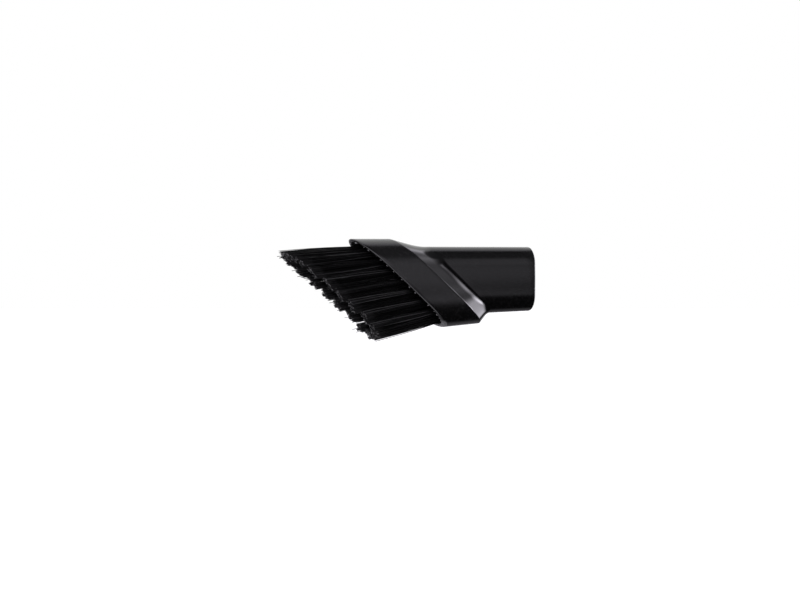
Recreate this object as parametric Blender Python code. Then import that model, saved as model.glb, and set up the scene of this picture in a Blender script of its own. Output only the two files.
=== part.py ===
"""Slanted dusting brush for a hand vacuum.

A hollow oval neck plugs onto the machine. A sloping shoulder widens it into a slanted collar, and
an oval carrier ring sits inside the collar. Bristle tufts stand in blind holes round the ring, each
folded over a flat wire anchor, and the air is drawn through the slot in the middle of the ring.

The neck's axis is X: the machine is at +X and the bristles point to -X. XZ is the mirror plane, and
+Z is the side of the collar's long lip. The origin is the middle of the neck's open end.
"""
import math
import random
from collections import namedtuple

import bmesh
import bpy
from mathutils import Matrix, Vector

MM = 0.001

# Slant of the mouth, the shoulder and the trimmed bristles, from a plane square to the axis
SLANT = math.radians(48.6)
SLOPE = math.tan(SLANT)

# Neck, measured from the axis at its open end
NECK_TOP = 14.4 * MM
NECK_BOTTOM = 14.4 * MM
NECK_SIDE = 8.15 * MM
NECK_LENGTH = 38.2 * MM
NECK_WALL = 1.6 * MM
NECK_END_ROUND = 0.5 * MM
NECK_LEAD_IN = 0.4 * MM
NECK_TOP_DRAFT = math.radians(0.1)
NECK_BOTTOM_DRAFT = math.radians(2.5)
NECK_SIDE_DRAFT = math.radians(0.8)
NECK_POWER = 2.0

# Shoulder between the neck and the collar's crest
FILLET_RUN = 2.9 * MM
FILLET_RISE = 1.2 * MM
SHOULDER_RUN = 7.0 * MM
CREST_ROUND = 0.4 * MM

# Collar, at its crest and at its mouth
COLLAR_TOP = 17.8 * MM
COLLAR_BOTTOM = 20.1 * MM
COLLAR_SIDE = 12.2 * MM
COLLAR_RUN = 19.5 * MM
COLLAR_WALL = 1.3 * MM
COLLAR_POWER = 2.4
MOUTH_BOTTOM_FLARE = 1.6 * MM
MOUTH_SIDE_FLARE = 0.85 * MM
RIM_OUTER_ROUND = 0.9 * MM
RIM_INNER_ROUND = 0.3 * MM
SEAT_SETBACK = 1.5 * MM
SEAT_LEDGE = 1.2 * MM

# Fits
FIT_GAP = 0.3 * MM
OVERRUN = 1.0 * MM

# Carrier ring and its tuft holes
CARRIER_RUN = 9.5 * MM
CARRIER_CHAMFER = 0.4 * MM
HOLE_RADIUS = 1.65 * MM
HOLE_LAND = 0.7 * MM
HOLE_DEPTH = 6.0 * MM

# Lugs on the collar's wall that keep the ring on its seat
LUG_RUN = 3.0 * MM
LUG_WIDTH = 1.8 * MM
LUG_HEIGHT = 1.1 * MM
SIDE_LUG_SHARES = (0.5, -0.5)

# Tufts
TUFT_COUNT = 19
ROOT_BEND = 0.8 * MM
STRANDS_PER_TUFT = 20
STRAND_RADIUS = 0.2 * MM
STRAND_EDGE = 0.1 * MM
STRAND_SEAT = 0.4 * MM
BRISTLE_REACH = 39.4 * MM
TRIM_HOLLOW = 3.0 * MM
FAN_DROP = 6.1 * MM
FAN_SPREAD_SHARE = 0.163
SPLAY_ACROSS_SHARE = 0.65
SPLAY_ALONG_SHARE = 1.25
SWELL_RUN = 10.0 * MM
SWELL_SHARE = 0.75
TRIM_SCATTER = 1.2 * MM
TIP_SCATTER = 0.1 * MM

# Anchors
ANCHOR_HEIGHT = 1.2 * MM
ANCHOR_THICKNESS = 0.35 * MM

# Facets
ARC_STEPS = 20
SIDE_STEPS = 6
CROWN_SHARE = 0.03
ROUND_STEPS = 3
FILLET_STEPS = 3
HOLE_SIDES = 12
STRAND_SIDES = 3

# Axial places, each where its slanted plane crosses the axis
CREST_X = -(NECK_LENGTH + FILLET_RUN + SHOULDER_RUN)
MOUTH_X = CREST_X - COLLAR_RUN
SEAT_X = CREST_X - SEAT_SETBACK
PLANE_GAP = FIT_GAP / math.cos(SLANT)
CARRIER_BACK_X = SEAT_X - PLANE_GAP
CARRIER_FRONT_X = CARRIER_BACK_X - CARRIER_RUN
TRIM_X = MOUTH_X - BRISTLE_REACH
HOLE_INSET = HOLE_RADIUS + HOLE_LAND
ROOT_RADIUS = HOLE_RADIUS - FIT_GAP

Section = namedtuple("Section", "axis_x slope top bottom side power")


def inset(section, depth):
    """The section drawn in by a depth all round, in its own plane."""
    return section._replace(top=section.top - depth,
                            bottom=section.bottom - depth,
                            side=section.side - depth)


def moved(section, distance):
    """The section moved along the axis."""
    return section._replace(axis_x=section.axis_x + distance)


def between(first, second, share):
    """The section that lies a share of the way from the first to the second."""
    return Section(*(a + (b - a) * share for a, b in zip(first, second)))


def outline(section):
    """Points round a section: two blunt, round ends joined by slightly crowned sides.

    Each end is a half superellipse. Its power is 2 for a half circle and more for a blunter end.
    """
    crown = section.side * CROWN_SHARE
    radius = section.side - crown
    upper = section.top - radius
    lower = radius - section.bottom
    middle = (upper + lower) / 2
    half = (upper - lower) / 2
    flat_points = []
    for hand, height in ((1, upper), (-1, lower)):
        for step in range(ARC_STEPS + 1):
            angle = math.pi * step / ARC_STEPS
            across = math.copysign(abs(math.cos(angle)) ** (2 / section.power), math.cos(angle))
            along = math.sin(angle) ** (2 / section.power) if 0 < step < ARC_STEPS else 0
            flat_points.append((hand * radius * across, height + hand * radius * along))
        for step in range(1, SIDE_STEPS):
            share = 2 * step / SIDE_STEPS - 1
            bulge = crown * (1 - share ** 2) ** 2
            flat_points.append((-hand * (radius + bulge), middle - hand * share * half))
    return [Vector((section.axis_x - z * section.slope, y, z)) for y, z in flat_points]


def neck_section():
    """The neck's outer section in the slanted plane where the shoulder starts."""
    axis_x = -NECK_LENGTH
    top_rise = math.tan(NECK_TOP_DRAFT)
    bottom_rise = math.tan(NECK_BOTTOM_DRAFT)
    return Section(axis_x, SLOPE,
                   (NECK_TOP - top_rise * axis_x) / (1 - top_rise * SLOPE),
                   (NECK_BOTTOM - bottom_rise * axis_x) / (1 + bottom_rise * SLOPE),
                   NECK_SIDE - math.tan(NECK_SIDE_DRAFT) * axis_x,
                   NECK_POWER)


def crest_section():
    """The outer section at the crest, where the shoulder meets the collar."""
    return Section(CREST_X, SLOPE, COLLAR_TOP, COLLAR_BOTTOM, COLLAR_SIDE, COLLAR_POWER)


def mouth_section():
    """The outer section at the mouth's rim."""
    return Section(MOUTH_X, SLOPE, COLLAR_TOP,
                   COLLAR_BOTTOM + MOUTH_BOTTOM_FLARE, COLLAR_SIDE + MOUTH_SIDE_FLARE,
                   COLLAR_POWER)


def collar_section(axis_x):
    """The collar's outer section between its crest and its mouth."""
    return between(crest_section(), mouth_section(), (CREST_X - axis_x) / COLLAR_RUN)


def curved(first, corner, last, steps):
    """Sections along a smooth curve from the first to the last that is drawn to the corner."""
    return [between(between(first, corner, step / steps),
                    between(corner, last, step / steps), step / steps)
            for step in range(steps + 1)]


def rounded_end(section, radius, inward, outward_x):
    """A quarter round from the section's side face to its end face."""
    stations = []
    for step in range(ROUND_STEPS + 1):
        angle = math.pi / 2 * step / ROUND_STEPS
        drawn = inset(section, inward * radius * (1 - math.cos(angle)))
        stations.append(moved(drawn, -outward_x * radius * (1 - math.sin(angle))))
    return stations


def make_material(name, color, roughness):
    """A plastic or metal material for the viewport."""
    material = bpy.data.materials.new(name)
    material.use_nodes = True
    shader = material.node_tree.nodes["Principled BSDF"]
    shader.inputs["Base Color"].default_value = (*color, 1.0)
    shader.inputs["Roughness"].default_value = roughness
    material.diffuse_color = (*color, 1.0)
    return material


def make_object(name, mesh_data, collection, material):
    """An object from a filled bmesh, shaded smooth between its sharp edges."""
    bmesh.ops.recalc_face_normals(mesh_data, faces=mesh_data.faces)
    mesh = bpy.data.meshes.new(name)
    mesh_data.to_mesh(mesh)
    mesh_data.free()
    mesh.shade_smooth()
    mesh.set_sharp_from_angle(angle=math.radians(30))
    built = bpy.data.objects.new(name, mesh)
    collection.objects.link(built)
    if material:
        mesh.materials.append(material)
    return built


def make_cutter(name, mesh_data, collection):
    """A guide solid that a Boolean reads, left out of renders."""
    cutter = make_object(name, mesh_data, collection, None)
    cutter.display_type = "WIRE"
    cutter.hide_render = True
    return cutter


def loft_ring(sections):
    """A closed tube through the sections, the last joined back to the first."""
    mesh_data = bmesh.new()
    loops = [[mesh_data.verts.new(point) for point in outline(section)] for section in sections]
    for loop, following in zip(loops, loops[1:] + loops[:1]):
        for index, corner in enumerate(loop):
            after = (index + 1) % len(loop)
            mesh_data.faces.new((corner, loop[after], following[after], following[index]))
    return mesh_data


def add_boolean(target, operand, operation):
    """Join or cut the target with the operand."""
    modifier = target.modifiers.new(operation.lower(), "BOOLEAN")
    modifier.operation = operation
    modifier.object = operand
    modifier.solver = "EXACT"
    return modifier


def settle_booleans(target):
    """Make the target's modifiers its mesh, and remove the solids that they read."""
    operands = [modifier.object for modifier in target.modifiers]
    graph = bpy.context.evaluated_depsgraph_get()
    mesh = bpy.data.meshes.new_from_object(target.evaluated_get(graph))
    target.modifiers.clear()
    target.data = mesh
    for operand in operands:
        bpy.data.objects.remove(operand)


def add_block(mesh_data, low, high, slope):
    """A box between two corners, leaned along X by the slope."""
    size = high - low
    lean = Matrix.Identity(4)
    lean[0][2] = -slope
    place = Matrix.Translation((low + high) / 2) @ Matrix.Diagonal((*size, 1.0))
    bmesh.ops.create_cube(mesh_data, size=1.0, matrix=lean @ place)


def add_round(mesh_data, center, radius, length, sides):
    """A round bar along X that ends at the center and runs a length towards +X."""
    turn = Matrix.Rotation(math.pi / 2, 4, "Y")
    place = Matrix.Translation(center + Vector((length / 2, 0, 0)))
    return bmesh.ops.create_cone(mesh_data, cap_ends=True, segments=sides, radius1=radius,
                                 radius2=radius, depth=length, matrix=place @ turn)


def make_lugs(collection):
    """Six short lugs on the collar's inner wall, just in front of the carrier ring."""
    mesh_data = bmesh.new()
    back_x = CARRIER_FRONT_X - PLANE_GAP
    front_x = back_x - LUG_RUN
    wall = inset(collar_section((back_x + front_x) / 2), COLLAR_WALL)
    sunk = COLLAR_WALL / 2
    half_width = LUG_WIDTH / 2
    add_block(mesh_data, Vector((front_x, -half_width, wall.top - LUG_HEIGHT)),
              Vector((back_x, half_width, wall.top + sunk)), SLOPE)
    add_block(mesh_data, Vector((front_x, -half_width, -wall.bottom - sunk)),
              Vector((back_x, half_width, LUG_HEIGHT - wall.bottom)), SLOPE)
    middle = (wall.top - wall.bottom) / 2
    straight = (wall.top + wall.bottom) / 2 - wall.side
    for share in SIDE_LUG_SHARES:
        height = middle + straight * share
        add_block(mesh_data, Vector((front_x, wall.side - LUG_HEIGHT, height - half_width)),
                  Vector((back_x, wall.side + sunk, height + half_width)), SLOPE)
        add_block(mesh_data, Vector((front_x, -wall.side - sunk, height - half_width)),
                  Vector((back_x, LUG_HEIGHT - wall.side, height + half_width)), SLOPE)
    return make_cutter("lug_blocks", mesh_data, collection)


def make_housing(parts, cutters, material):
    """The one-piece moulding: neck, shoulder and slanted collar, open from end to end."""
    neck_end = Section(0, 0, NECK_TOP, NECK_BOTTOM, NECK_SIDE, NECK_POWER)
    neck_root = neck_section()
    crest = crest_section()
    mouth = mouth_section()
    fillet_end = between(neck_root, crest, FILLET_RUN / (FILLET_RUN + SHOULDER_RUN))
    fillet_end = fillet_end._replace(side=neck_root.side + FILLET_RISE)
    fillet_corner = moved(neck_root, -FILLET_RUN / 2)
    seat = collar_section(SEAT_X)

    end_round = rounded_end(neck_end, NECK_END_ROUND, 1, 1)
    lead_in = [inset(neck_end, NECK_WALL - NECK_LEAD_IN),
               moved(inset(neck_end, NECK_WALL), -NECK_LEAD_IN)]
    outer_rim = rounded_end(mouth, RIM_OUTER_ROUND, 1, -1)
    inner_rim = rounded_end(inset(mouth, COLLAR_WALL), RIM_INNER_ROUND, -1, -1)

    outside = list(reversed(end_round))
    outside += curved(neck_root, fillet_corner, fillet_end, FILLET_STEPS)
    outside += curved(between(crest, fillet_end, CREST_ROUND / SHOULDER_RUN), crest,
                      between(crest, mouth, CREST_ROUND / COLLAR_RUN), ROUND_STEPS)
    outside += outer_rim
    inside = list(reversed(inner_rim))
    inside += [inset(seat, COLLAR_WALL), inset(seat, COLLAR_WALL + SEAT_LEDGE)]
    inside += [inset(neck_root, NECK_WALL)]
    inside += list(reversed(lead_in))

    housing = make_object("housing", loft_ring(outside + inside), parts, material)
    add_boolean(housing, make_lugs(cutters), "UNION")
    return housing


def tuft_places():
    """Centres of the tuft holes in the YZ plane, evenly spaced round the ring."""
    middle = inset(collar_section((CARRIER_BACK_X + CARRIER_FRONT_X) / 2),
                   COLLAR_WALL + FIT_GAP + HOLE_INSET)
    path = [Vector((point.y, point.z)) for point in outline(middle)]
    top = ARC_STEPS // 2
    path = path[top:] + path[:top + 1]
    reach = [0.0]
    for start, end in zip(path, path[1:]):
        reach.append(reach[-1] + (end - start).length)
    places = []
    for index in range(TUFT_COUNT):
        wanted = reach[-1] * (index + 1 / 2) / TUFT_COUNT
        leg = max(step for step in range(len(path) - 1) if reach[step] <= wanted)
        share = (wanted - reach[leg]) / (reach[leg + 1] - reach[leg])
        places.append((path[leg].lerp(path[leg + 1], share), path[leg + 1] - path[leg]))
    return places


def hole_mouth(place):
    """The point where a tuft hole's middle line meets the ring's slanted front."""
    return Vector((CARRIER_FRONT_X - place.y * SLOPE, place.x, place.y))


def make_carrier(parts, cutters, material):
    """The slanted oval ring with its air slot and one blind hole for each tuft."""
    gap = COLLAR_WALL + FIT_GAP
    back = inset(collar_section(CARRIER_BACK_X), gap)
    front = inset(collar_section(CARRIER_FRONT_X), gap)
    slot = inset(back, 2 * HOLE_INSET)
    slot_front = slot._replace(axis_x=CARRIER_FRONT_X)
    sections = [back,
                moved(front, CARRIER_CHAMFER),
                inset(front, CARRIER_CHAMFER),
                inset(slot_front, -CARRIER_CHAMFER),
                moved(slot_front, CARRIER_CHAMFER),
                slot]
    carrier = make_object("bristle_carrier", loft_ring(sections), parts, material)

    holes = bmesh.new()
    lean_reach = HOLE_RADIUS * SLOPE + OVERRUN
    for place, _ in tuft_places():
        start = hole_mouth(place) - Vector((lean_reach, 0, 0))
        add_round(holes, start, HOLE_RADIUS, lean_reach + HOLE_DEPTH, HOLE_SIDES)
    add_boolean(carrier, make_cutter("tuft_hole_cutters", holes, cutters), "DIFFERENCE")
    return carrier


def trim_axial(height):
    """Where the slightly hollow trimmed end of the brush crosses the axis for a height."""
    middle = (COLLAR_TOP - COLLAR_BOTTOM) / 2 - FAN_DROP
    off = (height - middle) / (COLLAR_TOP + COLLAR_BOTTOM) * 2
    return TRIM_X + TRIM_HOLLOW * (1 - off ** 2)


def fanned(place, offset, share, splay_share):
    """Where a bristle is in the YZ plane, a share of the way from the ring to the trim.

    The tuft's middle drops and spreads with the fan, and the offset from it grows with the splay.
    """
    across = place.x + offset.x * (1 + SPLAY_ACROSS_SHARE * splay_share)
    middle = place.y * (1 + FAN_SPREAD_SHARE * share) - FAN_DROP * share
    return across, middle + offset.y * (1 + SPLAY_ALONG_SHARE * splay_share)


def add_strand(mesh_data, start, swell, tip):
    """One bristle from its seat in the root plug, through the tuft's swell, to its trimmed tip."""
    added = add_round(mesh_data, Vector((swell.x, start.y, start.z)), STRAND_RADIUS,
                      start.x - swell.x, STRAND_SIDES)
    outer = [vert for vert in added["verts"] if vert.co.x < (start.x + swell.x) / 2]
    bmesh.ops.translate(mesh_data, verts=outer, vec=Vector((0, swell.y - start.y, swell.z - start.z)))
    cap = next(face for face in outer[0].link_faces if all(vert in outer for vert in face.verts))
    grown = bmesh.ops.extrude_face_region(mesh_data, geom=[cap])
    bmesh.ops.delete(mesh_data, geom=[cap], context="FACES_ONLY")
    moving = [item for item in grown["geom"] if isinstance(item, bmesh.types.BMVert)]
    bmesh.ops.translate(mesh_data, verts=moving, vec=tip - swell)


def make_strands(name, place, root_x, collection, chance):
    """The bristles of one tuft: they swell soon after the hole, and then fan out to the trim."""
    mesh_data = bmesh.new()
    usable = ROOT_RADIUS - STRAND_RADIUS - STRAND_EDGE
    swell_share = SWELL_RUN / (root_x + place.y * SLOPE - TRIM_X)
    for index in range(STRANDS_PER_TUFT):
        radius = usable * math.sqrt((index + 1 / 2) / STRANDS_PER_TUFT)
        angle = index * math.pi * (3 - math.sqrt(5))
        offset = Vector((math.cos(angle), math.sin(angle))) * radius
        face_x = root_x - offset.y * SLOPE
        start = Vector((face_x + STRAND_SEAT, place.x + offset.x, place.y + offset.y))
        swell = Vector((face_x - SWELL_RUN, *fanned(place, offset, swell_share, SWELL_SHARE)))
        tip_y, tip_z = fanned(place, offset, 1, 1)
        tip_y += chance.uniform(-TIP_SCATTER, TIP_SCATTER)
        tip_z += chance.uniform(-TIP_SCATTER, TIP_SCATTER)
        axial = trim_axial(tip_z) + chance.uniform(-TRIM_SCATTER, TRIM_SCATTER)
        add_strand(mesh_data, start, swell, Vector((axial - tip_z * SLOPE, tip_y, tip_z)))
    return make_object(name, mesh_data, collection, None)


def make_tuft(number, place, tangent, parts, materials, chance):
    """One tuft, with its folded root and the flat wire anchor that pins it in its hole."""
    mouth_x = hole_mouth(place).x
    root_back = mouth_x + HOLE_DEPTH - FIT_GAP
    root_front = mouth_x + FIT_GAP
    turn = Matrix.Rotation(math.atan2(tangent.y, tangent.x), 4, "X")
    here = Matrix.Translation((0, place.x, place.y))

    root = bmesh.new()
    add_round(root, Vector((root_front, place.x, place.y)), ROOT_RADIUS, root_back - root_front,
              HOLE_SIDES)
    for vert in root.verts:
        if vert.co.x < (root_front + root_back) / 2:
            vert.co.x -= (vert.co.z - place.y) * SLOPE
    tuft = make_object(f"tuft_{number:02d}", root, parts, materials["bristle"])

    anchor_back = root_back - ROOT_BEND - FIT_GAP
    anchor_front = anchor_back - ANCHOR_HEIGHT
    anchor_half = ROOT_RADIUS * math.cos(math.pi / HOLE_SIDES)
    anchor_side = ANCHOR_THICKNESS / 2
    plate = bmesh.new()
    add_block(plate, Vector((anchor_front, -anchor_half, -anchor_side)),
              Vector((anchor_back, anchor_half, anchor_side)), 0)
    bmesh.ops.transform(plate, matrix=here @ turn, verts=plate.verts)
    make_object(f"anchor_{number:02d}", plate, parts, materials["anchor"])

    window = bmesh.new()
    window_half = ROOT_RADIUS + OVERRUN
    window_side = anchor_side + FIT_GAP
    add_block(window, Vector((anchor_front - FIT_GAP, -window_half, -window_side)),
              Vector((anchor_back + FIT_GAP, window_half, window_side)), 0)
    bmesh.ops.transform(window, matrix=here @ turn, verts=window.verts)
    add_boolean(tuft, make_object("window", window, parts, None), "DIFFERENCE")

    add_boolean(tuft, make_strands("strands", place, root_front, parts, chance), "UNION")
    settle_booleans(tuft)
    return tuft


def main():
    """Clear the scene and build the brush."""
    for old in list(bpy.data.objects):
        bpy.data.objects.remove(old)
    parts = bpy.data.collections.new("vacuum_dusting_brush")
    cutters = bpy.data.collections.new("cutters")
    bpy.context.scene.collection.children.link(parts)
    bpy.context.scene.collection.children.link(cutters)
    materials = {
        "housing": make_material("housing_plastic", (0.018, 0.018, 0.019), 0.42),
        "carrier": make_material("carrier_plastic", (0.012, 0.012, 0.013), 0.55),
        "bristle": make_material("bristle_nylon", (0.008, 0.008, 0.009), 0.45),
        "anchor": make_material("anchor_wire", (0.55, 0.53, 0.50), 0.35),
    }
    materials["anchor"].node_tree.nodes["Principled BSDF"].inputs["Metallic"].default_value = 1.0

    make_housing(parts, cutters, materials["housing"])
    make_carrier(parts, cutters, materials["carrier"])
    chance = random.Random(7)
    for number, (place, tangent) in enumerate(tuft_places(), start=1):
        make_tuft(number, place, tangent, parts, materials, chance)


main()
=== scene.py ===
"""Looks of the slanted dusting brush: finer housing, full bristle tufts, finishes, light and camera.

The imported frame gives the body, the holes of the tufts and the overall box. X is the neck's axis, with
the bristles at -X, and Z is up. Lengths are in metres.
"""

import math
import random
from collections import namedtuple
from functools import cached_property

import bmesh
import bpy
from mathutils import Matrix, Vector


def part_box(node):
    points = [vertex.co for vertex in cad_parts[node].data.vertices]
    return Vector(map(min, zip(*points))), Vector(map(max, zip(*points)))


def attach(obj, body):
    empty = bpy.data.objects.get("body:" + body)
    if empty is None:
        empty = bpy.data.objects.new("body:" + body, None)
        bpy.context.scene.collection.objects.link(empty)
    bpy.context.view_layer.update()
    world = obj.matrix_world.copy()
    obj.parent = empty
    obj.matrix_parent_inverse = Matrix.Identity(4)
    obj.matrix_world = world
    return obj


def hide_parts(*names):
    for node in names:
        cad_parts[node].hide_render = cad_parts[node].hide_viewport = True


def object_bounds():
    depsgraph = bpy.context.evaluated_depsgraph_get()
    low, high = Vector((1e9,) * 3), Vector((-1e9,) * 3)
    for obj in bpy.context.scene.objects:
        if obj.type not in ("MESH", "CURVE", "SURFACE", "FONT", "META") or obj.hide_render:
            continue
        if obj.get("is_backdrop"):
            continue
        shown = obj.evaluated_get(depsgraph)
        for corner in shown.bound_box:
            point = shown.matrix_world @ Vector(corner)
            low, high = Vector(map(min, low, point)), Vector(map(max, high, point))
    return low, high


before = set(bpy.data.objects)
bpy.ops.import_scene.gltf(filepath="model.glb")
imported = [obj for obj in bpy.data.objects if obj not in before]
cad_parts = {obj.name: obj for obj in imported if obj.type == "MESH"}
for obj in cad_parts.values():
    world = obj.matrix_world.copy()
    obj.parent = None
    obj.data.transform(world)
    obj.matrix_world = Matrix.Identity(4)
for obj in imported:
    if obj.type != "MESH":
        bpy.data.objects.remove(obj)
CAD_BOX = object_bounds()

MM = 0.001
RANDOM_SEED = 11

# The housing's driving sizes are those of the solids, apart from the fillet, the crest's round, the
# crown, the collar's top and two of the powers, which follow the photograph more closely. A power of
# 2 gives an elliptic end, and a higher one a squarer end.
SLOPE = math.tan(math.radians(48.6))
CROWN_SHARE = 0.02

# Neck
NECK_TOP = 14.4 * MM
NECK_BOTTOM = 14.4 * MM
NECK_SIDE = 8.15 * MM
NECK_LENGTH = 38.2 * MM
NECK_WALL = 1.6 * MM
NECK_END_ROUND = 0.5 * MM
NECK_LEAD_IN = 0.4 * MM
NECK_TOP_DRAFT = math.radians(0.1)
NECK_BOTTOM_DRAFT = math.radians(2.5)
NECK_SIDE_DRAFT = math.radians(0.8)
NECK_TOP_POWER = 2.0
NECK_BOTTOM_POWER = 2.15

# Shoulder between the neck and the collar's crest
FILLET_RUN = 2.9 * MM
FILLET_REACH = 3.8 * MM
FILLET_RISE = 1.32 * MM
FILLET_LEAD = 2.7 * MM
SHOULDER_RUN = 7.0 * MM
CREST_ROUND = 0.5 * MM

# Collar, at its crest and at its mouth
COLLAR_TOP = 18.0 * MM
COLLAR_BOTTOM = 20.1 * MM
COLLAR_SIDE = 12.2 * MM
COLLAR_RUN = 19.5 * MM
COLLAR_WALL = 1.3 * MM
COLLAR_TOP_POWER = 1.92
COLLAR_BOTTOM_POWER = 2.4
MOUTH_BOTTOM_FLARE = 1.6 * MM
MOUTH_SIDE_FLARE = 0.85 * MM
RIM_OUTER_ROUND = 0.9 * MM
RIM_INNER_ROUND = 0.3 * MM

# Seat of the punched ring, and the lugs that keep it there
SEAT_SETBACK = 1.5 * MM
SEAT_LEDGE = 1.2 * MM
CARRIER_RUN = 9.5 * MM
FIT_GAP = 0.3 * MM
LUG_RUN = 3.0 * MM
LUG_WIDTH = 1.8 * MM
LUG_HEIGHT = 1.1 * MM
LUG_ROUND = 0.25 * MM
SIDE_LUG_SHARES = (0.5, -0.5)

# Where the slanted planes cross the axis
CREST_X = -(NECK_LENGTH + FILLET_RUN + SHOULDER_RUN)
MOUTH_X = CREST_X - COLLAR_RUN
SEAT_X = CREST_X - SEAT_SETBACK
PLANE_GAP = FIT_GAP * math.hypot(1, SLOPE)
CARRIER_FRONT_X = SEAT_X - PLANE_GAP - CARRIER_RUN

# Facets, finer than the frame's
ARC_STEPS = 56
SIDE_STEPS = 16
ROUND_STEPS = 5
FILLET_STEPS = 14
LONG_STEPS = 10
LUG_ROUND_STEPS = 3
ROUND_PROFILE = 0.5
SHARP_ANGLE = math.radians(40)

# Trimmed end of the brush, and how the tufts fan out to it. Within a tuft the end leans less than the
# whole does, by the scallop share.
BRISTLE_REACH = 39.4 * MM
TRIM_X = MOUTH_X - BRISTLE_REACH
TRIM_HOLLOW = 2.7 * MM
TRIM_TILT = 1.5 * MM
SCALLOP_SHARE = 0.5
FAN_DROP = 6.1 * MM
FAN_SPREAD_SHARE = 0.163

# A tuft's filaments, in clumps and loose between them. The step power crowds a filament's steps
# towards its root, and the swell power makes it leave its neighbours early.
CLUMPS_PER_TUFT = 9
FILAMENTS_PER_CLUMP = 17
LOOSE_PER_TUFT = 36
FILAMENT_RADIUS = 0.13 * MM
FILAMENT_SIDES = 5
FILAMENT_STEPS = 8
STEP_POWER = 1.3
SWELL_POWER = 2.0
FILAMENT_SEAT = 2.0 * MM
ROOT_SPREAD = 1.0 * MM
ROOT_CLUMP = 0.33 * MM
TIP_ACROSS = 2.1 * MM
TIP_ALONG_SHARE = 0.8
TIP_CLUMP = 0.6 * MM

# How far tufts, clumps and filaments stray from their even places and lengths
LEAN_SCATTER = 0.2 * MM
CLUMP_SCATTER = 0.28 * MM
BOW_SCATTER = 0.35 * MM
LOOSE_BOW_SCATTER = 0.12 * MM
TIP_SCATTER = 0.1 * MM
STRAY_SHARE = 0.03
STRAY_SCATTER = 0.35 * MM
TUFT_CUT_SCATTER = 0.35 * MM
CLUMP_CUT_SCATTER = 0.4 * MM
TRIM_SCATTER = 0.25 * MM
LONG_SHARE = 0.01
LONG_EXTRA = 2.6 * MM

# Pale filaments with painted glints: one bunch in each clump, and some of the loose ones, all in the
# part of a tuft that faces out of the ring
GLINT_BUNCH_RADIUS_SHARE = 0.36
GLINT_LOOSE_SHARE = 0.2
GLINT_INNER_LIMIT_SHARE = -0.1

# Specks of moulding flash on the mouth's inner lip
FLASH_COUNT = 34
FLASH_SIZE = 0.32 * MM
FLASH_SPREAD_SHARE = 0.45
FLASH_LEAST_WIDTH_SHARE = 0.6
FLASH_LENGTH_SHARE = 1.3
FLASH_RAGGED_SHARE = 0.3

# A finish has its darkest and palest grey in linear light, its base roughness, the depth and strength
# of its relief, and its specular level.
Finish = namedtuple("Finish", "greys roughness relief specular", defaults=(None, 0.5))

NECK = Finish(greys=(0.0008, 0.008), roughness=0.08, relief=(0.03 * MM, 0.6))
SHOULDER = Finish(greys=(0.0008, 0.002), roughness=0.06, relief=(0.006 * MM, 0.4))
COLLAR = Finish(greys=(0.0008, 0.025), roughness=0.12, relief=(0.015 * MM, 0.5), specular=0.64)
BORE = Finish(greys=(0.001, 0.004), roughness=0.42, relief=(0.02 * MM, 0.6))
CARRIER = Finish(greys=(0.001, 0.01), roughness=0.5, relief=(0.03 * MM, 0.6))
FILAMENT = Finish(greys=(0.0003, 0.02), roughness=0.16, specular=0.11)
# Pale base colour that paints glints on single filaments
GLINT_FILAMENT = Finish(greys=(0.001, 0.06), roughness=0.2, specular=0.2)
# Cut ends: a paler tone of their own, and painted glints that reach white on a few
GLINTING_CUT_END = Finish(greys=(0.02, 1.0), roughness=0.5)
FLASH = Finish(greys=(0.08, 0.3), roughness=0.45)
WIRE = Finish(greys=(0.42, 0.6), roughness=0.3)
# Grey of the painted highlight on the lowest part of the mouth's rim
HEEL_HIGHLIGHT_GREY = 0.45

# A texture is noise with so many features a metre, octaves of detail and a roughness of its own. It
# may be stretched along the axes, and show only as patches that fade in between two levels. It whitens
# a finish by a share of the way to the palest grey, and adds to its roughness.
Texture = namedtuple("Texture", "scale detail roughness fade stretch whitens roughens",
                     defaults=(2.0, 0.5, None, None, 1.0, 0.0))

NECK_GRAIN = Texture(2600, 3.0, 0.6, roughens=0.06)
NECK_MOTTLE = Texture(900, 3.0, 0.7, whitens=0.4, roughens=0.14)
NECK_RUB = Texture(420, 4.0, 0.7, fade=(0.6, 0.78), stretch=(1.0, 1.0, 2.4), whitens=0.5)
SHOULDER_CLOUD = Texture(160, 3.0, roughens=0.04)
SHOULDER_HAZE = Texture(1500, roughens=0.04)
COLLAR_GRAIN = Texture(2300, 3.0, 0.6, roughens=0.05)
COLLAR_CLOUD = Texture(400, 4.0, 0.7, roughens=0.1)
COLLAR_SPECKLE = Texture(1100, 3.0, 0.7, fade=(0.5, 0.75), whitens=0.35)
COLLAR_SCUFF = Texture(260, 5.0, 0.75, fade=(0.56, 0.74), stretch=(1.0, 1.0, 2.0), whitens=0.5)
RIM_WEAR = Texture(700, fade=(0.42, 0.72), roughens=0.15)
BORE_SCORE = Texture(1400, 3.0, stretch=(0.15, 1.0, 1.0), roughens=0.15)
BORE_DUST = Texture(90, 4.0, fade=(0.45, 0.8))
CARRIER_GRAIN = Texture(1900, 3.0, roughens=0.15)
CARRIER_LINT = Texture(320, 5.0, 0.7, fade=(0.56, 0.8))
FILAMENT_DUST = Texture(500, 4.0, 0.7, fade=(0.62, 0.8), whitens=0.5)
CUT_STRAND = Texture(1600, 1.0, roughens=0.2)
FLASH_CLOUD = Texture(1200, roughens=0.2)
WIRE_DRAW = Texture(3000, stretch=(1.0, 0.1, 0.1), roughens=0.15)

# The levels between which the mottle whitens the neck, though all of it roughens it
MOTTLE_FADE = (0.4, 0.75)

# Where finishes change along the axis or with the height, and by how much in roughness
CREST_SHINE_WIDTH = 0.7 * MM
CREST_SMOOTHS = 0.08
RIM_WEAR_WIDTH = 0.6 * MM
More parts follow.
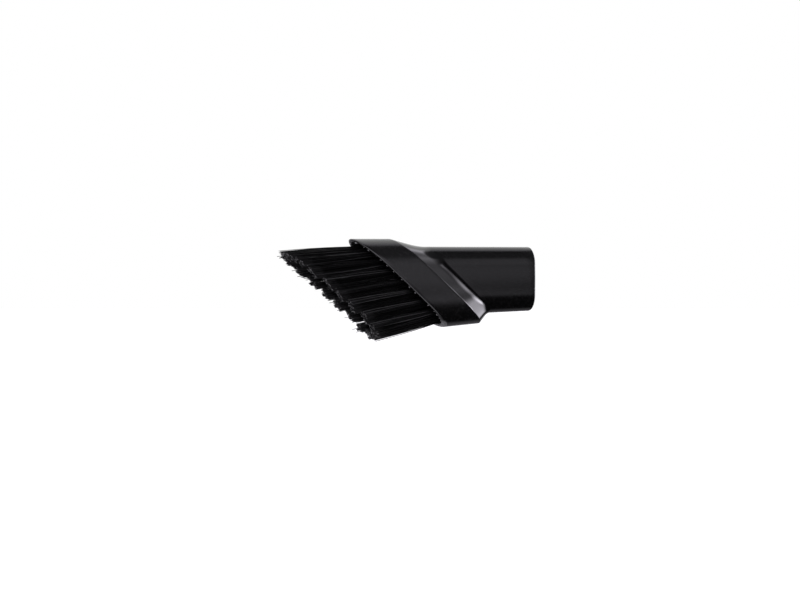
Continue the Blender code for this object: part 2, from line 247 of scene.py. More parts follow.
# Width and heights of the painted highlight on the heel of the mouth's rim
HEEL_HIGHLIGHT_WIDTH = 2.0 * MM
HEEL_HIGHLIGHT_HEIGHTS = (-20.2 * MM, -18.4 * MM)
TOP_RUB_HEIGHTS = (11.0 * MM, 16.0 * MM)
TOP_RUB_ROUGHENS = 0.04
# Run out of the mouth over which painted shade on the pale filaments fades away
MOUTH_SHADE_RUN = 5.0 * MM

# How far single filaments differ, and how pale the darkest of the painted glints is
OWN_WHITENS = 0.3
OWN_ROUGHENS = 0.3
GLINT_LEAST_SHARE = 0.2

# Camera, set from the photograph: where its frame shows the neck's open end, and how far it turns
CAMERA_AZIMUTH = math.radians(23.5)
PHOTO_PIXEL = 0.45 * MM
PHOTO_WIDTH_PX = 800
PHOTO_HEIGHT_PX = 600
ORIGIN_U_PX = 528.7
ORIGIN_V_PX = 278.9
LENS_MM = 1200.0
SENSOR_MM = 36.0

# Floor: glowing paper for the camera, and a darker table for the light that bounces off it
FLOOR_SIZE = 80.0
FLOOR_GAP = 0.3 * MM
FLOOR_GLOW = 1.5
GLOW_SHARE = 0.5
PAPER_GREY = 0.85
TABLE_GREY = 0.12

# The light tent round the part. Azimuths run in degrees from the front towards the machine's end, and
# heights are above level. Four values fade a light in between the first two and out between the last
# two, and a pair of values fades it once.
FRONT_LEVEL = 0.62
FRONT_FADE = (27.5, 36.0)
FRONT_HEIGHTS = (-16.0, 8.0, 30.0, 50.0)
OVERHEAD_LEVEL = 0.12
OVERHEAD_HEIGHTS = (20.0, 40.0, 58.0, 76.0)
BACK_LEVEL = 1.0
BACK_ASIDE = (114.0, 137.0)
BACK_HEIGHTS = (-20.0, -6.0, 50.0, 68.0)
TABLE_LEVEL = 0.18
LEFT_LEVEL = 1.2
LEFT_AZIMUTHS = (-150.0, -120.0, -12.0, 8.0)
LEFT_HEIGHTS = (30.0, 60.0)
TOP_LEVEL = 1.0
TOP_ASIDE = (104.0, 126.0)
TOP_HEIGHTS = (56.0, 64.0, 72.0, 82.0)
DARK_LEVEL = 0.01
TENT_TINT = (1.03, 1.0, 1.09, 1.0)

Panel = namedtuple("Panel", "level azimuths heights")

SKY = Panel(level=2.5, azimuths=(50.0, 122.0, 132.0, 142.0), heights=(14.0, 30.0, 42.0, 47.0))
SOFTBOX = Panel(level=5.2, azimuths=(52.0, 62.0, 98.0, 112.0), heights=(-26.0, -8.0, 16.0, 28.0))
HOT_STRIP = Panel(level=11.0, azimuths=(49.0, 57.0, 61.0, 69.0), heights=(-14.0, -2.0, 3.0, 32.0))

# A section of the housing lies in a plane that leans by its slope, and is square to the axis without
# one. It reaches up, down and aside from the axis.
Section = namedtuple("Section", "axis_x slope top bottom side top_power bottom_power")


def inset(section, depth):
    """The section drawn in by a depth all round, in its own plane."""
    return section._replace(top=section.top - depth,
                            bottom=section.bottom - depth,
                            side=section.side - depth)


def moved(section, distance):
    """The section moved along the axis."""
    return section._replace(axis_x=section.axis_x + distance)


def between(first, second, share):
    """The section that lies a share of the way from the first to the second."""
    return Section(*(a + (b - a) * share for a, b in zip(first, second)))


def outline(section):
    """Points round a section: two superelliptic ends joined by slightly crowned sides."""
    crown = section.side * CROWN_SHARE
    radius = section.side - crown
    upper = section.top - radius
    lower = radius - section.bottom
    middle = (upper + lower) / 2
    half = (upper - lower) / 2
    points = []
    for hand, height, power in ((1, upper, section.top_power), (-1, lower, section.bottom_power)):
        for step in range(ARC_STEPS + 1):
            angle = math.pi * step / ARC_STEPS
            across = math.copysign(abs(math.cos(angle)) ** (2 / power), math.cos(angle))
            along = math.sin(angle) ** (2 / power) if 0 < step < ARC_STEPS else 0
            points.append((hand * radius * across, height + hand * radius * along))
        for step in range(1, SIDE_STEPS):
            share = 2 * step / SIDE_STEPS - 1
            bulge = crown * (1 - share ** 2) ** 2
            points.append((-hand * (radius + bulge), middle - hand * share * half))
    return [Vector((section.axis_x - z * section.slope, y, z)) for y, z in points]


def neck_section():
    """The neck's outer section in the slanted plane where the shoulder starts."""
    top_rise = math.tan(NECK_TOP_DRAFT)
    bottom_rise = math.tan(NECK_BOTTOM_DRAFT)
    return Section(-NECK_LENGTH, SLOPE,
                   (NECK_TOP + top_rise * NECK_LENGTH) / (1 - top_rise * SLOPE),
                   (NECK_BOTTOM + bottom_rise * NECK_LENGTH) / (1 + bottom_rise * SLOPE),
                   NECK_SIDE + math.tan(NECK_SIDE_DRAFT) * NECK_LENGTH,
                   NECK_TOP_POWER, NECK_BOTTOM_POWER)


def collar_section(axis_x):
    """The collar's outer section between its crest and its mouth."""
    crest = Section(CREST_X, SLOPE, COLLAR_TOP, COLLAR_BOTTOM, COLLAR_SIDE,
                    COLLAR_TOP_POWER, COLLAR_BOTTOM_POWER)
    mouth = crest._replace(axis_x=MOUTH_X, bottom=COLLAR_BOTTOM + MOUTH_BOTTOM_FLARE,
                           side=COLLAR_SIDE + MOUTH_SIDE_FLARE)
    return between(crest, mouth, (CREST_X - axis_x) / COLLAR_RUN)


def straight(first, last):
    """Evenly spaced sections after the first, up to and with the last."""
    return [between(first, last, step / LONG_STEPS) for step in range(1, LONG_STEPS + 1)]


def curved(first, corner, last, steps):
    """Sections along a smooth curve from the first to the last that is drawn to the corner."""
    return [between(between(first, corner, step / steps),
                    between(corner, last, step / steps), step / steps)
            for step in range(steps + 1)]


def rounded_end(section, radius, inward, outward_x):
    """A quarter round from the section's side face to its end face."""
    stations = []
    for step in range(ROUND_STEPS + 1):
        angle = math.pi / 2 * step / ROUND_STEPS
        drawn = inset(section, inward * radius * (1 - math.cos(angle)))
        stations.append(moved(drawn, -outward_x * radius * (1 - math.sin(angle))))
    return stations


def make_piece(name, mesh_data, materials):
    """A smooth-shaded object from a filled bmesh, riding on the one body."""
    mesh = bpy.data.meshes.new(name)
    mesh_data.to_mesh(mesh)
    mesh_data.free()
    mesh.shade_smooth()
    piece = bpy.data.objects.new(name, mesh)
    bpy.context.scene.collection.objects.link(piece)
    for material in materials:
        mesh.materials.append(material)
    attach(piece, "root")
    return piece


class Value:
    """An output of a node. Where it is a number, its operators add Math nodes."""

    def __init__(self, shader, socket):
        self.shader = shader
        self.socket = socket

    def math(self, operation, *others):
        """A Math node that starts from this value."""
        inputs = dict(enumerate((self, *others)))
        return self.shader.node("ShaderNodeMath", {"operation": operation}, inputs)

    def __add__(self, other):
        return self.math("ADD", other)

    def __sub__(self, other):
        return self.math("SUBTRACT", other)

    def __mul__(self, other):
        return self.math("MULTIPLY", other)

    def __rsub__(self, other):
        return self.math("MULTIPLY", -1.0) + other

    __radd__ = __add__
    __rmul__ = __mul__

    def ramp(self, low, high):
        """0 below the low value, 1 above the high one, and smooth between."""
        settings = {"interpolation_type": "SMOOTHSTEP"}
        return self.shader.node("ShaderNodeMapRange", settings,
                                {"Value": self, "From Min": low, "From Max": high})

    def window(self, start, low, high, end):
        """1 between the low and high values, and 0 before the start and past the end."""
        return self.ramp(start, low) * (1 - self.ramp(high, end))

    def band(self, middle, width):
        """1 at the middle, and 0 a width away on both sides."""
        return 1 - (self - middle).math("ABSOLUTE").ramp(0.0, width)


class Shader:
    """A node tree with one method that makes its nodes."""

    def __init__(self, tree):
        self.tree = tree
        self.tree.nodes.clear()

    def node(self, kind, settings=None, inputs=None, output=0):
        """Add a node, set it up, feed its sockets, and give back one of its outputs."""
        made = self.tree.nodes.new(kind)
        for name, setting in (settings or {}).items():
            setattr(made, name, setting)
        for name, given in (inputs or {}).items():
            socket = made.inputs[name]
            if isinstance(given, Value):
                self.tree.links.new(given.socket, socket)
            else:
                socket.default_value = given
        return Value(self, made.outputs[output]) if made.outputs else None

    @cached_property
    def place(self):
        """The point of the surface in the part's own frame."""
        return self.node("ShaderNodeTexCoord", output="Object")

    def axes(self, vector):
        """The X, Y and Z of a vector."""
        split = self.node("ShaderNodeSeparateXYZ", inputs={0: vector})
        return [Value(self, out) for out in split.socket.node.outputs]

    def axial(self):
        """Where the slanted plane through the point crosses the axis."""
        x, _, z = self.axes(self.place)
        return x + z * SLOPE

    def height(self):
        """How far the point lies above the axis."""
        _, _, z = self.axes(self.place)
        return z

    def own(self):
        """A random number from 0 to 1 that each filament has to itself."""
        return self.node("ShaderNodeNewGeometry", output="Random Per Island")

    def texture(self, texture):
        """The level of a texture, from 0 to 1."""
        place = self.place
        if texture.stretch:
            place = self.node("ShaderNodeVectorMath", {"operation": "MULTIPLY"},
                              {0: place, 1: texture.stretch})
        noise = self.node("ShaderNodeTexNoise", inputs={
            "Vector": place, "Scale": texture.scale,
            "Detail": texture.detail, "Roughness": texture.roughness})
        return noise.ramp(*texture.fade) if texture.fade else noise

    def mix(self, factor, first, second):
        """A colour between two colours, from the Mix node's own colour sockets."""
        return self.node("ShaderNodeMix", {"data_type": "RGBA"},
                         {0: factor, 6: first, 7: second}, output=2)

    def surface(self, finish, pale, rough, relief=None):
        """The sockets of a finish, from how pale, rough and high it is over the surface."""
        darkest, palest = map(grey, finish.greys)
        sockets = {
            "Base Color": self.mix(pale, darkest, palest),
            "Roughness": rough + finish.roughness,
            "Specular IOR Level": finish.specular,
        }
        if relief is not None:
            depth, strength = finish.relief
            sockets["Normal"] = self.node("ShaderNodeBump", inputs={
                "Height": relief, "Distance": depth, "Strength": strength})
        return sockets


def grey(level):
    """A neutral colour."""
    return (level, level, level, 1.0)


def make_finish(name, build):
    """A material whose Principled BSDF takes the sockets that a function works out."""
    material = bpy.data.materials.new(name)
    material.use_nodes = True
    shader = Shader(material.node_tree)
    surface = shader.node("ShaderNodeBsdfPrincipled", inputs=build(shader))
    shader.node("ShaderNodeOutputMaterial", inputs={"Surface": surface})
    return material


def neck_finish(shader):
    """Spark-eroded black plastic: fine matte grain, mottled, with a few rubbed patches."""
    grain = shader.texture(NECK_GRAIN)
    mottle = shader.texture(NECK_MOTTLE)
    rub = shader.texture(NECK_RUB)
    mottled = mottle.ramp(*MOTTLE_FADE)
    return shader.surface(NECK, pale=rub * NECK_RUB.whitens + mottled * NECK_MOTTLE.whitens,
                          rough=mottle * NECK_MOTTLE.roughens + grain * NECK_GRAIN.roughens,
                          relief=grain + mottle)


def shoulder_finish(shader):
    """The polished slope between the neck and the collar."""
    cloud = shader.texture(SHOULDER_CLOUD)
    haze = shader.texture(SHOULDER_HAZE)
    rough = cloud * SHOULDER_CLOUD.roughens + haze * SHOULDER_HAZE.roughens
    return shader.surface(SHOULDER, pale=cloud, rough=rough, relief=haze)


def collar_finish(shader):
    """Satin black plastic with handling scuffs, a shiny crest, a worn rim and a painted highlight on the
    heel.
    """
    grain = shader.texture(COLLAR_GRAIN)
    cloud = shader.texture(COLLAR_CLOUD)
    speckle = shader.texture(COLLAR_SPECKLE)
    scuff = shader.texture(COLLAR_SCUFF)
    along = shader.axial()
    height = shader.height()
    crest = along.band(CREST_X, CREST_SHINE_WIDTH)
    worn = along.band(MOUTH_X, RIM_WEAR_WIDTH) * shader.texture(RIM_WEAR)
    # Painted highlight: the lowest part of the mouth's rim turns towards a pale grey
    heel_highlight = along.band(MOUTH_X, HEEL_HIGHLIGHT_WIDTH) * (1 - height.ramp(*HEEL_HIGHLIGHT_HEIGHTS))
    rubbed_top = height.ramp(*TOP_RUB_HEIGHTS)
    pale = speckle * COLLAR_SPECKLE.whitens + scuff * COLLAR_SCUFF.whitens + worn
    rough = (cloud * COLLAR_CLOUD.roughens + grain * COLLAR_GRAIN.roughens
             + worn * RIM_WEAR.roughens + rubbed_top * TOP_RUB_ROUGHENS - crest * CREST_SMOOTHS)
    sockets = shader.surface(COLLAR, pale, rough, relief=grain)
    sockets["Base Color"] = shader.mix(heel_highlight, sockets["Base Color"], grey(HEEL_HIGHLIGHT_GREY))
    return sockets


def bore_finish(shader):
    """The dull, lightly scored inside of the moulding."""
    score = shader.texture(BORE_SCORE)
    dust = shader.texture(BORE_DUST)
    return shader.surface(BORE, pale=dust, rough=score * BORE_SCORE.roughens, relief=score)


def carrier_finish(shader):
    """The punched ring's matte plastic, with lint between the tufts."""
    grain = shader.texture(CARRIER_GRAIN)
    lint = shader.texture(CARRIER_LINT)
    return shader.surface(CARRIER, pale=lint, rough=grain * CARRIER_GRAIN.roughens, relief=grain)


def filament_finish(shader):
    """Drawn black nylon: glossy along each filament, with a little dust."""
    own = shader.own()
    dust = shader.texture(FILAMENT_DUST)
    return shader.surface(FILAMENT, pale=own * own * OWN_WHITENS + dust * FILAMENT_DUST.whitens,
                          rough=own * OWN_ROUGHENS)


def glint_finish(shader):
    """The pale filaments, whose paleness is painted glints, with painted shade where they come out of
    the collar's mouth.
    """
    own = shader.own()
    # Painted shade: the painted glints fade to dark near the collar's mouth
    out = (MOUTH_X - shader.axial()).ramp(0.0, MOUTH_SHADE_RUN)
    pale = out * (own * (1 - GLINT_LEAST_SHARE) + GLINT_LEAST_SHARE)
    return shader.surface(GLINT_FILAMENT, pale, rough=own * OWN_ROUGHENS)


def cut_finish(shader):
    """The cut ends of the filaments, paler than the sides, a few of them nearly white with painted
    glints.
    """
    own = shader.own()
    # Partly painted glints: a few cut ends turn nearly white
    strand = shader.texture(CUT_STRAND)
    return shader.surface(GLINTING_CUT_END, pale=own * own * own, rough=strand * CUT_STRAND.roughens)


def flash_finish(shader):
    """Stress-whitened flash on the lip."""
    cloud = shader.texture(FLASH_CLOUD)
    return shader.surface(FLASH, pale=cloud, rough=cloud * FLASH_CLOUD.roughens)


def wire_finish(shader):
    """Drawn steel wire."""
    draw = shader.texture(WIRE_DRAW)
    sockets = shader.surface(WIRE, pale=draw, rough=draw * WIRE_DRAW.roughens)
    return {**sockets, "Metallic": 1.0}


def loft(mesh_data, runs):
    """Join sections into one closed skin, where the last meets the first. Each run has its material."""
    loops = []
    kinds = []
    for kind, sections in runs:
        for section in sections:
            loops.append([mesh_data.verts.new(point) for point in outline(section)])
            kinds.append(kind)
    for row, loop in enumerate(loops):
        next_row = (row + 1) % len(loops)
        following = loops[next_row]
        for index, corner in enumerate(loop):
            after = (index + 1) % len(loop)
            face = mesh_data.faces.new((corner, loop[after], following[after], following[index]))
            face.material_index = kinds[next_row]
    bmesh.ops.recalc_face_normals(mesh_data, faces=mesh_data.faces)


def make_housing(finishes):
    """The moulding, lofted finely: out along its outer skin, round the rim and back through the bore."""
    neck_end = Section(0, 0, NECK_TOP, NECK_BOTTOM, NECK_SIDE, NECK_TOP_POWER, NECK_BOTTOM_POWER)
    neck_root = neck_section()
    crest = collar_section(CREST_X)
    mouth = collar_section(MOUTH_X)
    seat = collar_section(SEAT_X)
    fillet_start = between(neck_root, neck_end, FILLET_LEAD / NECK_LENGTH)
    fillet_end = between(neck_root, crest, FILLET_REACH / (FILLET_RUN + SHOULDER_RUN))
    fillet_end = fillet_end._replace(side=neck_root.side + FILLET_RISE)
    fillet = curved(fillet_start, neck_root, fillet_end, FILLET_STEPS)
    crest_start = between(crest, fillet_end, CREST_ROUND / SHOULDER_RUN)
    crest_end = between(crest, mouth, CREST_ROUND / COLLAR_RUN)
    crest_round = curved(crest_start, crest, crest_end, ROUND_STEPS)

    end_round = rounded_end(neck_end, NECK_END_ROUND, 1, 1)
    outer_rim = rounded_end(mouth, RIM_OUTER_ROUND, 1, -1)
    inner_rim = rounded_end(inset(mouth, COLLAR_WALL), RIM_INNER_ROUND, -1, -1)
    seat_edge = inset(seat, COLLAR_WALL)
    ledge_edge = inset(seat, COLLAR_WALL + SEAT_LEDGE)
    bore_root = inset(neck_root, NECK_WALL)
    lead_in_edge = moved(inset(neck_end, NECK_WALL), -NECK_LEAD_IN)
    bore_end = inset(neck_end, NECK_WALL - NECK_LEAD_IN)

    neck, shoulder, collar, bore = range(4)
    mesh_data = bmesh.new()
    loft(mesh_data, [
        (neck, end_round[::-1] + straight(end_round[0], fillet_start)),
        (shoulder, fillet[1:] + straight(fillet_end, crest_start)),
        (collar, crest_round[1:] + straight(crest_end, outer_rim[0]) + outer_rim[1:]),
        (collar, inner_rim[::-1]),
        (bore, straight(inner_rim[0], seat_edge) + [ledge_edge] + straight(ledge_edge, bore_root)
         + straight(bore_root, lead_in_edge) + [bore_end]),
    ])
    materials = [finishes[name] for name in ("neck", "shoulder", "collar", "bore")]
    housing = make_piece("housing_moulding", mesh_data, materials)
    housing.data.set_sharp_from_angle(angle=SHARP_ANGLE)
    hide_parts("housing")


def make_lugs(finishes):
    """Six small rounded lugs inside the collar, just in front of the punched ring."""
    middle_x = CARRIER_FRONT_X - PLANE_GAP - LUG_RUN / 2
    wall = inset(collar_section(middle_x), COLLAR_WALL)
    middle = (wall.top - wall.bottom) / 2
    straight_half = (wall.top + wall.bottom) / 2 - wall.side
    proud = LUG_HEIGHT / 2
    spots = [((0, wall.top - proud), (LUG_WIDTH, 2 * LUG_HEIGHT)),
             ((0, proud - wall.bottom), (LUG_WIDTH, 2 * LUG_HEIGHT))]
    for share in SIDE_LUG_SHARES:
        for hand in (1, -1):
            spots.append(((hand * (wall.side - proud), middle + straight_half * share),
                          (2 * LUG_HEIGHT, LUG_WIDTH)))
    mesh_data = bmesh.new()
    lean = Matrix.Identity(4)
    lean[0][2] = -SLOPE
    for (across, height), (width, tall) in spots:
        place = Matrix.Translation((middle_x, across, height))
        size = Matrix.Diagonal((LUG_RUN, width, tall, 1.0))
        bmesh.ops.create_cube(mesh_data, size=1.0, matrix=lean @ place @ size)
    bmesh.ops.bevel(mesh_data, geom=mesh_data.edges[:], offset=LUG_ROUND, segments=LUG_ROUND_STEPS,
                    profile=ROUND_PROFILE, affect="EDGES")
    make_piece("ring_lugs", mesh_data, [finishes["bore"]])


def make_flash(finishes, chance):
    """Small ragged specks of flash round the inner lip of the mouth."""
    lip = outline(inset(collar_section(MOUTH_X), COLLAR_WALL))
    mesh_data = bmesh.new()
    for index in range(FLASH_COUNT):
        spot = (index + chance.uniform(0, 1)) / FLASH_COUNT * len(lip)
        point = lip[int(spot) % len(lip)].lerp(lip[(int(spot) + 1) % len(lip)], spot % 1)
        size = FLASH_SIZE * chance.uniform(1 - FLASH_SPREAD_SHARE, 1 + FLASH_SPREAD_SHARE)
        width = size * chance.uniform(FLASH_LEAST_WIDTH_SHARE, 1)
        shape = Matrix.Diagonal((size, width, size * FLASH_LENGTH_SHARE, 1.0))
        spin = Matrix.Rotation(chance.uniform(0, math.pi), 4, "X")
        made = bmesh.ops.create_icosphere(mesh_data, subdivisions=2, radius=1.0,
                                          matrix=Matrix.Translation(point) @ spin @ shape)
        for vert in made["verts"]:
            vert.co += (vert.co - point) * chance.uniform(-FLASH_RAGGED_SHARE, FLASH_RAGGED_SHARE)
    make_piece("rim_flash", mesh_data, [finishes["flash"]])


def trim_axial(height):
    """Where the slightly hollow and tilted trimmed end crosses the axis for a height."""
    middle = (COLLAR_TOP - COLLAR_BOTTOM) / 2 - FAN_DROP
    off = (height - middle) / (COLLAR_TOP + COLLAR_BOTTOM) * 2
    return TRIM_X + TRIM_HOLLOW * (1 - off ** 2) - TRIM_TILT * off


def hole_middles():
    """The middles of the tuft holes in order round the ring, marked by the anchors."""
    count = sum(name.startswith("anchor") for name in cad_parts)
    boxes = [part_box(f"anchor_{number:02d}") for number in range(1, count + 1)]
    return [(low + high) / 2 for low, high in boxes]


def sunflower(index, count):
    """An evenly filled place in the unit circle."""
    angle = index * math.pi * (3 - math.sqrt(5))
    radius = math.sqrt((index + 0.5) / count)
    return radius * math.cos(angle), radius * math.sin(angle)


def scattered(chance, spread):
    """A random offset in the YZ plane."""
    return Vector((0, chance.gauss(0, spread), chance.gauss(0, spread)))


def filament_path(hole, root, tip, bow, cut):
    """Points along one filament, from its place in the hole to its cut end."""
    start_x = CARRIER_FRONT_X - hole.z * SLOPE + FILAMENT_SEAT
    tip_z = hole.z * (1 + FAN_SPREAD_SHARE) - FAN_DROP + tip.z
    scallop = tip.z * SLOPE * SCALLOP_SHARE
    run = trim_axial(tip_z) + cut + scallop - tip_z * SLOPE - start_x
    path = []
    for step in range(FILAMENT_STEPS + 1):
        share = (step / FILAMENT_STEPS) ** STEP_POWER
        swell = 1 - (1 - share) ** SWELL_POWER
        middle_z = hole.z * (1 + FAN_SPREAD_SHARE * share) - FAN_DROP * share
        path.append(Vector((start_x + run * share, hole.y, middle_z))
                    + root.lerp(tip, swell) + bow * math.sin(math.pi * share))
    return path


def tuft_paths(hole, along, chance):
    """Paths of a tuft's filaments, and whether each is pale with painted glints.

    The filaments leave the hole packed together and swell apart in small clumps as they fan out,
    so that they meet the next tufts along the ring. A few lie loose between the clumps.
    """
    across = Vector((0, -along.z, along.y)).normalized()
    if across.dot(hole) < 0:
        across.negate()
    lean = scattered(chance, LEAN_SCATTER)
    tuft_cut = chance.gauss(0, TUFT_CUT_SCATTER)

    def spread(u, v):
        """A root and a tip for a place in the unit circle, with v pointing out of the ring."""
        return ((along.normalized() * u + across * v) * ROOT_SPREAD,
                along * (u * TIP_ALONG_SHARE) + across * (v * TIP_ACROSS) + lean)

    paths = []
    for clump in range(CLUMPS_PER_TUFT):
        u, v = sunflower(clump, CLUMPS_PER_TUFT)
        clump_root, clump_tip = spread(u, v)
        clump_tip += scattered(chance, CLUMP_SCATTER)
        clump_bow = scattered(chance, BOW_SCATTER)
        clump_cut = tuft_cut + chance.gauss(0, CLUMP_CUT_SCATTER)
        places = [Vector((0, *sunflower(index, FILAMENTS_PER_CLUMP)))
                  for index in range(FILAMENTS_PER_CLUMP)]
        glint_middle = places[chance.randrange(FILAMENTS_PER_CLUMP)]
        for within in places:
            stray = STRAY_SCATTER if chance.random() < STRAY_SHARE else TIP_SCATTER
            extra = LONG_EXTRA if chance.random() < LONG_SHARE else 0
            cut = clump_cut - extra + chance.uniform(-TRIM_SCATTER, TRIM_SCATTER)
            path = filament_path(hole, clump_root + within * ROOT_CLUMP,
                                 clump_tip + within * TIP_CLUMP + scattered(chance, stray),
                                 clump_bow + scattered(chance, TIP_SCATTER), cut)
            # Painted glints go to one bunch of each clump, on the side of the tuft that faces out of the
            # ring
            in_bunch = (within - glint_middle).length < GLINT_BUNCH_RADIUS_SHARE
            paths.append((path, v > GLINT_INNER_LIMIT_SHARE and in_bunch))
    for index in range(LOOSE_PER_TUFT):
        u, v = sunflower(index, LOOSE_PER_TUFT)
        root, tip = spread(u, v)
        cut = tuft_cut + chance.gauss(0, TRIM_SCATTER)
        path = filament_path(hole, root, tip + scattered(chance, TIP_SCATTER),
                             scattered(chance, LOOSE_BOW_SCATTER), cut)
        paths.append((path, v > GLINT_INNER_LIMIT_SHARE and chance.random() < GLINT_LOOSE_SHARE))
    return paths


def add_filament(mesh_data, path, turn, side_material, cut_material):
    """A thin tube along a path, whose free end is closed by a cut cap."""
    rings = []
    for index, point in enumerate(path):
        ahead = path[min(index + 1, len(path) - 1)] - path[max(index - 1, 0)]
        side = ahead.orthogonal().normalized() if index == 0 else side
        side = (side - ahead * (side.dot(ahead) / ahead.length_squared)).normalized()
        over = ahead.normalized().cross(side)
        ring = []
        for step in range(FILAMENT_SIDES):
            angle = turn + 2 * math.pi * step / FILAMENT_SIDES
            offset = side * math.cos(angle) + over * math.sin(angle)
            ring.append(mesh_data.verts.new(point + offset * FILAMENT_RADIUS))
        rings.append(ring)
    for ring, following in zip(rings, rings[1:]):
        for step in range(FILAMENT_SIDES):
            after = (step + 1) % FILAMENT_SIDES
            face = mesh_data.faces.new((ring[step], ring[after], following[after], following[step]))
            face.material_index = side_material
    mesh_data.faces.new(rings[0][::-1])
    mesh_data.faces.new(rings[-1]).material_index = cut_material


def make_tufts(finishes, chance):
    """A full tuft in every hole, spread along the ring by its distance to the next holes."""
    dark, pale, cut = range(3)
    materials = [finishes[name] for name in ("filament", "pale", "cut")]
    holes = hole_middles()
    for index, hole in enumerate(holes):
        along = (holes[(index + 1) % len(holes)] - holes[index - 1]) / 2
        mesh_data = bmesh.new()
        for path, has_glint in tuft_paths(hole, Vector((0, along.y, along.z)), chance):
            turn = chance.uniform(0, math.pi)
            # The pale material paints glints on the filaments that have them
            add_filament(mesh_data, path, turn, pale if has_glint else dark, cut)
        number = index + 1
        piece = make_piece(f"bristles_{number:02d}", mesh_data, materials)
        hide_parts(f"tuft_{number:02d}")


def dress_frame(finishes):
    """Give the nodes that stay as they are their own finishes."""
    shown = {name: "wire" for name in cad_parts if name.startswith("anchor")}
    shown["bristle_carrier"] = "carrier"
    for name, finish in shown.items():
        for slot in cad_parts[name].material_slots:
            slot.material = finishes[finish]


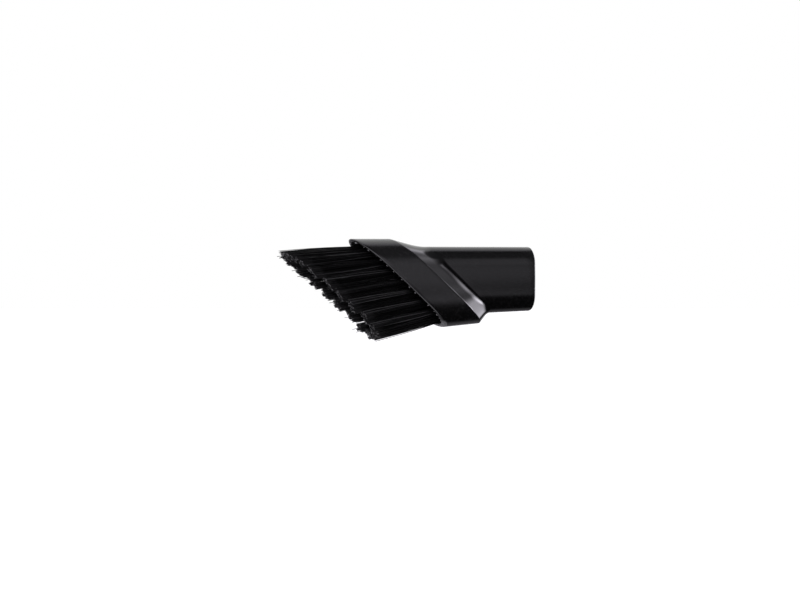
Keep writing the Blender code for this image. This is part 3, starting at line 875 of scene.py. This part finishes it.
def make_floor(height):
    """A plain pale floor under the part, white to the camera apart from the part's shadow.

    Reflections and shadow rays pass it, so the part mirrors the tent that goes on below it.
    """
    bpy.ops.mesh.primitive_plane_add(size=FLOOR_SIZE, location=(0, 0, height))
    floor = bpy.context.object
    floor.name = "floor"
    material = bpy.data.materials.new("floor_paper")
    material.use_nodes = True
    shader = Shader(material.node_tree)
    to_camera = shader.node("ShaderNodeLightPath", output="Is Camera Ray")
    to_gloss = shader.node("ShaderNodeLightPath", output="Is Glossy Ray")
    to_shadow = shader.node("ShaderNodeLightPath", output="Is Shadow Ray")
    paper = shader.node("ShaderNodeBsdfDiffuse", inputs={"Color": grey(PAPER_GREY)})
    glow = shader.node("ShaderNodeEmission", inputs={"Color": grey(1.0), "Strength": FLOOR_GLOW})
    seen = shader.node("ShaderNodeMixShader", inputs={0: GLOW_SHARE, 1: paper, 2: glow})
    table = shader.node("ShaderNodeBsdfDiffuse", inputs={"Color": grey(TABLE_GREY)})
    open_air = shader.node("ShaderNodeBsdfTransparent")
    solid = shader.node("ShaderNodeMixShader", inputs={0: to_camera, 1: table, 2: seen})
    surface = shader.node("ShaderNodeMixShader", inputs={
        0: to_gloss.math("MAXIMUM", to_shadow), 1: solid, 2: open_air})
    shader.node("ShaderNodeOutputMaterial", inputs={"Surface": surface})
    floor.data.materials.append(material)
    floor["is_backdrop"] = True


def make_world():
    """A light tent: bright at the back and the left, softer in front, dark elsewhere.

    At the machine's end hang a softbox, a hot strip and a strip of sky. Over the back lies a top
    light, and the front has a little light from overhead. The camera sees white paper all round, and
    reflections see it at the back.
    """
    world = bpy.data.worlds.new("light_tent")
    bpy.context.scene.world = world
    world.use_nodes = True
    shader = Shader(world.node_tree)
    x, y, z = shader.axes(shader.node("ShaderNodeTexCoord", output="Generated"))
    azimuth = x.math("ARCTAN2", y * -1.0) * math.degrees(1)
    height = z.math("ARCSINE") * math.degrees(1)
    aside = azimuth.math("ABSOLUTE")
    back = aside.ramp(*BACK_ASIDE)
    front = height.window(*FRONT_HEIGHTS) * (1 - azimuth.ramp(*FRONT_FADE)) * FRONT_LEVEL
    overhead = height.window(*OVERHEAD_HEIGHTS) * OVERHEAD_LEVEL
    rear = height.window(*BACK_HEIGHTS) * BACK_LEVEL
    table = (1 - height.ramp(*BACK_HEIGHTS[:2])) * TABLE_LEVEL
    left = azimuth.window(*LEFT_AZIMUTHS) * (1 - height.ramp(*LEFT_HEIGHTS)) * LEFT_LEVEL
    top = aside.ramp(*TOP_ASIDE) * height.window(*TOP_HEIGHTS) * TOP_LEVEL
    level = (front + overhead) * (1 - back) + (rear + table) * back + left + top
    for panel in (SKY, SOFTBOX, HOT_STRIP):
        level += azimuth.window(*panel.azimuths) * height.window(*panel.heights) * panel.level
    to_camera = shader.node("ShaderNodeLightPath", output="Is Camera Ray")
    to_glass = shader.node("ShaderNodeLightPath", output="Is Transmission Ray")
    to_gloss = shader.node("ShaderNodeLightPath", output="Is Glossy Ray")
    open_back = back * height.window(*BACK_HEIGHTS)
    seen = to_camera.math("MAXIMUM", to_glass).math("MAXIMUM", to_gloss * open_back)
    tent = shader.node("ShaderNodeBackground", inputs={
        "Color": TENT_TINT, "Strength": level + DARK_LEVEL})
    paper = shader.node("ShaderNodeBackground", inputs={"Color": grey(1.0), "Strength": 1.0})
    surface = shader.node("ShaderNodeMixShader", inputs={0: seen, 1: tent, 2: paper})
    shader.node("ShaderNodeOutputWorld", inputs={"Surface": surface})


def make_camera():
    """The photograph's camera: level with the part, turned towards the bristle end."""
    right = Vector((math.cos(CAMERA_AZIMUTH), -math.sin(CAMERA_AZIMUTH), 0))
    back = Vector((-math.sin(CAMERA_AZIMUTH), -math.cos(CAMERA_AZIMUTH), 0))
    across = (PHOTO_WIDTH_PX / 2 - ORIGIN_U_PX) * PHOTO_PIXEL
    height = (ORIGIN_V_PX - PHOTO_HEIGHT_PX / 2) * PHOTO_PIXEL
    middle = (CAD_BOX[0] + CAD_BOX[1]) / 2
    aim = right * across + back * middle.dot(back) + Vector((0, 0, height))
    distance = PHOTO_WIDTH_PX * PHOTO_PIXEL * LENS_MM / SENSOR_MM
    data = bpy.data.cameras.new("photo_camera")
    data.lens = LENS_MM
    data.sensor_width = SENSOR_MM
    camera = bpy.data.objects.new("photo_camera", data)
    camera.location = aim + back * distance
    camera.rotation_mode = "QUATERNION"
    camera.rotation_quaternion = (-back).to_track_quat("-Z", "Y")
    bpy.context.scene.collection.objects.link(camera)
    bpy.context.scene.camera = camera


def main():
    """Set up the camera, dress the frame, and set up the floor and the light."""
    make_camera()
    builders = {
        "neck": neck_finish, "shoulder": shoulder_finish, "collar": collar_finish,
        "bore": bore_finish, "carrier": carrier_finish, "filament": filament_finish,
        "pale": glint_finish, "cut": cut_finish, "flash": flash_finish, "wire": wire_finish,
    }
    finishes = {name: make_finish(name, build) for name, build in builders.items()}
    chance = random.Random(RANDOM_SEED)
    make_housing(finishes)
    make_lugs(finishes)
    make_tufts(finishes, chance)
    make_flash(finishes, chance)
    dress_frame(finishes)
    make_floor(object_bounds()[0].z - FLOOR_GAP)
    make_world()
    bpy.context.scene.view_settings.view_transform = "Standard"


main()
